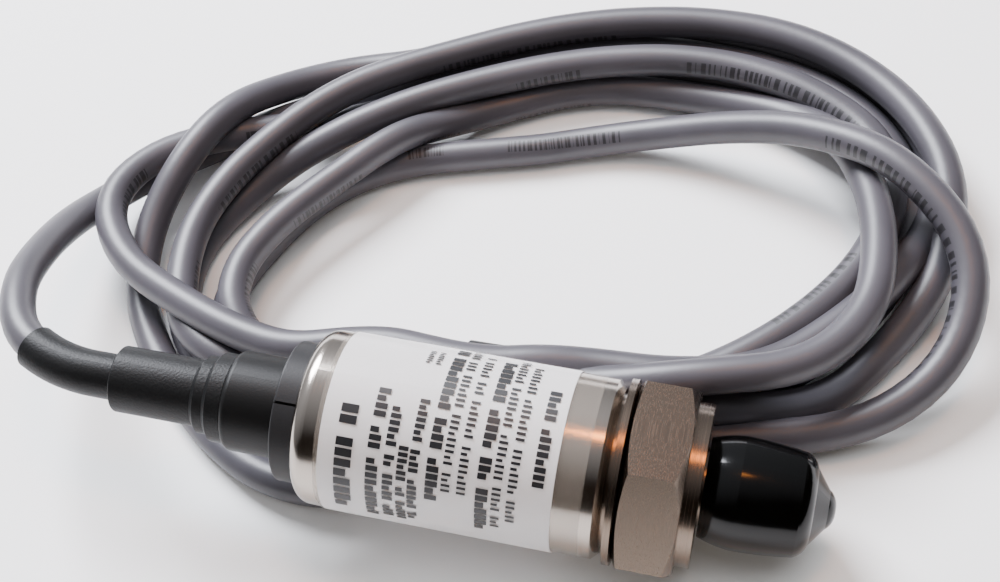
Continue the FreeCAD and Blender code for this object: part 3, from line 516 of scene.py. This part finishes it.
# Rows of print: millimetres from the housing's rear face, height of a block in millimetres, first
# and last degree, and the share of its pitch that a block fills. 0 degrees is on top, and a row
# starts on the front and runs up.
LABEL_ROWS = [
    (7.0, 2.1, 92, 12, 0.78), (10.6, 1.5, 96, 1, 0.74), (12.6, 1.3, 94, 12, 0.7),
    (14.2, 1.2, 95, 33, 0.7), (15.6, 1.2, 92, 6, 0.7), (17.9, 1.5, 70, -49, 0.8),
    (19.6, 1.1, 62, -53, 0.5), (21.5, 1.1, 62, -44, 0.5), (24.0, 1.5, 88, -45, 0.8),
    (25.7, 1.1, 83, -45, 0.5), (27.5, 1.1, 76, -38, 0.5), (30.4, 1.4, 48, -19, 0.74),
    (14.4, 0.7, -20, -36, 0.5), (15.6, 0.7, -20, -36, 0.5),
]
GROUP_LENGTHS = (8, 10, 3, 5, 2, 6, 4, 9, 7, 3, 5, 8)    # blocks before each gap
BLOCK_PITCH = 0.62    # from block to block, as a share of the height
SHORT_BLOCK = 0.72    # as a share of a tall one
PRINT_LIFT = 0.01    # millimetres above the film


def print_blocks():
    """Patches of the print: place and length along the tube, angle and width round it in radians.

    A row is groups of plain upright blocks. Every fourth place holds a shorter one, so that a row
    looks lively and spells nothing.
    """
    patches = []
    for row, (place, height, begin, end, ink) in enumerate(LABEL_ROWS):
        pitch = math.degrees(height * MM * BLOCK_PITCH / HOUSING_RADIUS)
        group, left = row, GROUP_LENGTHS[row % len(GROUP_LENGTHS)]
        for slot in range(int((begin - end) / pitch)):
            if left == 0:
                group += 1
                left = GROUP_LENGTHS[group % len(GROUP_LENGTHS)]
                continue
            left -= 1
            short = (slot * 5 + row * 3) % 4 == 0
            patches.append((place - height / 2, height * (SHORT_BLOCK if short else 1.0),
                            begin - slot * pitch, pitch * ink))
    return np.array(patches) * (MM, MM, math.pi / 180, math.pi / 180)


class OBJECT_OT_transmitter_housing(bpy.types.Operator):
    """Finish the housing and lay the label's print on it"""
    bl_idname = "object.transmitter_housing"
    bl_label = "Housing and label"

    def execute(self, context):
        colours = context.scene.transmitter_colours
        dress(housing_material(colours), "housing")
        dress(label_material(colours), "label")
        dress(film_material(), "label_film")
        self.add_print(colours)
        return {"FINISHED"}

    def add_print(self, colours):
        """Screen print: rows of plain blocks that run round the tube, set along it."""
        low, high = (Vector(corner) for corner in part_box("label_film"))
        radius = (high.y - low.y) / 2 + PRINT_LIFT * MM
        place, length, angle, width = print_blocks().T[:, :, None, None]
        round_tube = angle - width * np.linspace(0, 1, 3)[None, None, :]
        along_tube = place + length * np.array([0, 1])[None, :, None]
        points = around_axis(along_tube, radius, round_tube)
        # Each patch has two rows of three points, and so two faces side by side
        base = np.arange(len(place))[:, None] * 6 + np.arange(2)[None, :]
        faces = np.stack([base, base + 1, base + 4, base + 3], axis=-1).reshape(-1, 4)
        ink, _, _ = new_material("screen_print_ink", colours.ink, roughness=0.45)
        piece = new_piece("label_print", points, faces, ink)
        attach(piece, "transmitter")


# ---------------------------------------------------------------- fitting and cap
def fitting_material(colours):
    """Machined stainless steel: satin, with turned lines on the round parts, and a brown base
    colour that is a painted reflection of a dark, warm room.
    """
    material, tree, shader = new_material("machined_stainless", colours.fitting,
                                          roughness=0.24, metallic=1.0)
    turning_lines(tree, shader, pitch_mm=0.16, depth_mm=0.0016)
    return material


def cap_material(colours):
    """Dip-moulded vinyl: glossy black with a slight ripple."""
    material, tree, shader = new_material("glossy_vinyl", colours.cap, roughness=0.14,
                                          Specular_IOR_Level=0.28)
    grain(tree, shader, size_mm=3.5, depth_mm=0.03, detail=1.0)
    return material


RIDGE_SECTION = (-0.36, -0.14, 0.14, 0.36)    # the corners' places, as shares of the pitch
RIDGE_STEPS = 48    # in a turn
RIDGE_SINK = 0.02    # millimetres that the root lies under the nipple's surface
RIDGE_FADE = 0.8    # radians over which each end rises to the full crest


def thread_ridge(sizes):
    """Points and faces of the thread's crest, a low ridge wound on the nipple.

    A four-cornered section, wide at its root and narrow at its crest, follows a helix: its place
    along the axis grows by one pitch a turn. Flat ends close it.
    """
    turns = sizes.thread_length / sizes.thread_pitch
    count = int(turns * RIDGE_STEPS)
    angle = np.linspace(0, turns * FULL_TURN, count + 1)[:, None]
    across = np.array(RIDGE_SECTION) * sizes.thread_pitch
    root = sizes.thread_radius - RIDGE_SINK * MM
    crest = sizes.thread_radius + sizes.thread_crest
    swell = np.clip(np.minimum(angle, angle[-1] - angle) / RIDGE_FADE, 0, 1)
    out = np.array([root, crest, crest, root])
    radius = root + (out - root) * swell
    along = sizes.thread_start + angle / FULL_TURN * sizes.thread_pitch + across
    points = around_axis(along, radius, -angle)
    step, corner = np.meshgrid(np.arange(count), np.arange(4), indexing="ij")
    here, beside = step * 4 + corner, step * 4 + (corner + 1) % 4
    faces = np.stack([here, beside, beside + 4, here + 4], axis=-1).reshape(-1, 4).tolist()
    last = count * 4
    return points, faces + [[3, 2, 1, 0], [last, last + 1, last + 2, last + 3]]


class OBJECT_OT_transmitter_fitting(bpy.types.Operator):
    """Finish the port fitting, its seals and the dust cap"""
    bl_idname = "object.transmitter_fitting"
    bl_label = "Fitting and cap"

    def execute(self, context):
        colours = context.scene.transmitter_colours
        steel = fitting_material(colours)
        dress(steel, "port_fitting")
        points, faces = thread_ridge(context.scene.transmitter_sizes)
        ridge = new_piece("thread_crest", points, faces, steel, smooth=False)
        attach(ridge, "transmitter")
        dress(cap_material(colours), "dust_cap")
        seal, tree, shader = new_material("nitrile_rubber", linear("#0C0C0D"), roughness=0.4)
        grain(tree, shader, size_mm=0.2, depth_mm=0.004)
        dress(seal, "body_o_ring", "sensor_o_ring")
        return {"FINISHED"}


# ---------------------------------------------------------------- inside
INSIDE = [
    # name, colour, roughness, metallic, grain size and depth in millimetres, pieces
    ("crimped_brass", "#B0925A", 0.32, 1.0, 0.2, 0.004, ["cable_clamp"]),
    ("moulded_nylon", "#D9D6C8", 0.45, 0.0, 0.4, 0.004, ["board_carrier"]),
    ("solder_masked_glass_epoxy", "#12472C", 0.35, 0.0, 0.6, 0.004,
     ["main_board", "interface_board"]),
    ("moulded_epoxy", "#1B1B1D", 0.5, 0.0, 0.15, 0.004, ["signal_chip", "current_regulator"]),
    ("fired_ceramic", "#8F7450", 0.4, 0.0, 0.2, 0.002, ["filter_capacitors"]),
    ("red_pvc", "#A3211C", 0.4, 0.0, 0.5, 0.004, ["board_lead_red", "tail_lead_red"]),
    ("black_pvc", "#141416", 0.4, 0.0, 0.5, 0.004, ["board_lead_black", "tail_lead_black"]),
    ("tinned_copper", "#B9BBBD", 0.3, 1.0, 0.3, 0.02, ["tail_drain_wire"]),
    ("ground_steel", "#C4C2BE", 0.22, 1.0, 0.15, 0.002, ["sensor_capsule"]),
    ("gold_plate", "#D9A441", 0.2, 1.0, 0.2, 0.001, ["sensor_pins"]),
    ("spring_steel", "#8E8E90", 0.3, 1.0, 0.2, 0.002, ["retaining_ring"]),
]


class OBJECT_OT_transmitter_inside(bpy.types.Operator):
    """Finish the sensor, the electronics and the stripped leads"""
    bl_idname = "object.transmitter_inside"
    bl_label = "Sensor, electronics and leads"

    def execute(self, context):
        for name, colour, roughness, metallic, size, depth, pieces in INSIDE:
            material, tree, shader = new_material(name, linear(colour), roughness, metallic)
            noise = grain(tree, shader, size, depth)
            dark = [part * 0.85 for part in linear(colour)[:3]]
            mottle(tree, shader, dark, linear(colour), noise.outputs["Fac"])
            dress(material, *pieces)
        return {"FINISHED"}


# ---------------------------------------------------------------- stage
# Name, place and side in metres, power in watts, colour, and whether reflections show it
LAMPS = [
    ("window", (-0.42, 0.45, 0.62), 0.42, 28.0, "#F4F7FF", True),
    ("ceiling", (0.25, 0.15, 1.0), 0.9, 8.0, "#FFFFFF", False),
    ("fill", (0.25, -0.7, 0.5), 0.6, 1.5, "#FFF4E6", False),
    ("warm_card", (0.10, 0.09, 0.62), 0.1, 0.8, "#FF9A40", True),
]
AIM_ALONG = 0.02    # metres from the housing's rear face
BRIGHT_SIDE = (-0.55, 0.45, 0.70)
# Each stop: about the cosine to the bright side, and the room's colour there
ROOM_COLOURS = [(0.1, "#2B241E"), (0.95, "#E6EAF2")]


class OBJECT_OT_transmitter_stage(bpy.types.Operator):
    """Lay a pale floor and hang soft lights"""
    bl_idname = "object.transmitter_stage"
    bl_label = "Floor and lights"

    def execute(self, context):
        half = context.scene.transmitter_sizes.floor_size / 2
        corners = [(-half, -half, 0), (half, -half, 0), (half, half, 0), (-half, half, 0)]
        floor, _, _ = new_material("matt_paper", context.scene.transmitter_colours.floor,
                                   roughness=0.9)
        piece = new_piece("floor", corners, [(0, 1, 2, 3)], floor, smooth=False)
        world = bpy.data.worlds.new("studio")
        world.use_nodes = True
        tree = world.node_tree
        background = next(node for node in tree.nodes if node.type == "BACKGROUND")
        background.inputs["Strength"].default_value = 1.0
        place = add_node(tree, "ShaderNodeTexCoord")
        towards = add_node(tree, "ShaderNodeVectorMath", {"operation": "DOT_PRODUCT"},
                           i0=place.outputs["Generated"], i1=BRIGHT_SIDE)
        ramp = add_node(tree, "ShaderNodeValToRGB", None, Fac=towards.outputs["Value"])
        for stop, (position, colour) in zip(ramp.color_ramp.elements, ROOM_COLOURS):
            stop.position, stop.color = position, linear(colour)
        tree.links.new(ramp.outputs["Color"], background.inputs["Color"])
        context.scene.world = world
        for lamp in LAMPS:
            self.add_light(*lamp)
        return {"FINISHED"}

    def add_light(self, name, place, size, power, colour, seen):
        """A square lamp that looks at the middle of the transmitter."""
        data = bpy.data.lights.new(name, "AREA")
        data.size = size
        data.energy = power
        data.color = linear(colour)[:3]
        lamp = bpy.data.objects.new(name, data)
        lamp.location = place
        lamp.visible_glossy = seen
        aim = (REAR + ALONG * AIM_ALONG) - Vector(place)
        lamp.rotation_euler = aim.to_track_quat("-Z", "Y").to_euler()
        bpy.context.scene.collection.objects.link(lamp)


# ---------------------------------------------------------------- panel and registration
STEPS = [
    OBJECT_OT_transmitter_camera, OBJECT_OT_transmitter_cable, OBJECT_OT_transmitter_relief,
    OBJECT_OT_transmitter_housing, OBJECT_OT_transmitter_fitting, OBJECT_OT_transmitter_inside,
    OBJECT_OT_transmitter_stage,
]


class VIEW3D_PT_transmitter(bpy.types.Panel):
    """Lists the steps and the settings"""
    bl_idname = "VIEW3D_PT_transmitter"
    bl_label = "Pressure transmitter"
    bl_space_type = "VIEW_3D"
    bl_region_type = "UI"
    bl_category = "Transmitter"

    def draw(self, context):
        for settings in (context.scene.transmitter_sizes, context.scene.transmitter_colours):
            for name in settings.bl_rna.properties.keys():
                if name not in ("rna_type", "name"):
                    self.layout.prop(settings, name)
        for step in STEPS:
            self.layout.operator(step.bl_idname)


CLASSES = [TransmitterSizes, TransmitterColours, *STEPS, VIEW3D_PT_transmitter]


def register():
    """Make the settings, the steps and the panel known."""
    for item in CLASSES:
        bpy.utils.register_class(item)
    bpy.types.Scene.transmitter_sizes = PointerProperty(type=TransmitterSizes)
    bpy.types.Scene.transmitter_colours = PointerProperty(type=TransmitterColours)


def unregister():
    """Undo register."""
    del bpy.types.Scene.transmitter_colours
    del bpy.types.Scene.transmitter_sizes
    for item in reversed(CLASSES):
        bpy.utils.unregister_class(item)


def main():
    """Run every step in order."""
    register()
    for step in STEPS:
        group, name = step.bl_idname.split(".")
        getattr(getattr(bpy.ops, group), name)()
    bpy.context.view_layer.update()


if __name__ == "__main__":
    main()
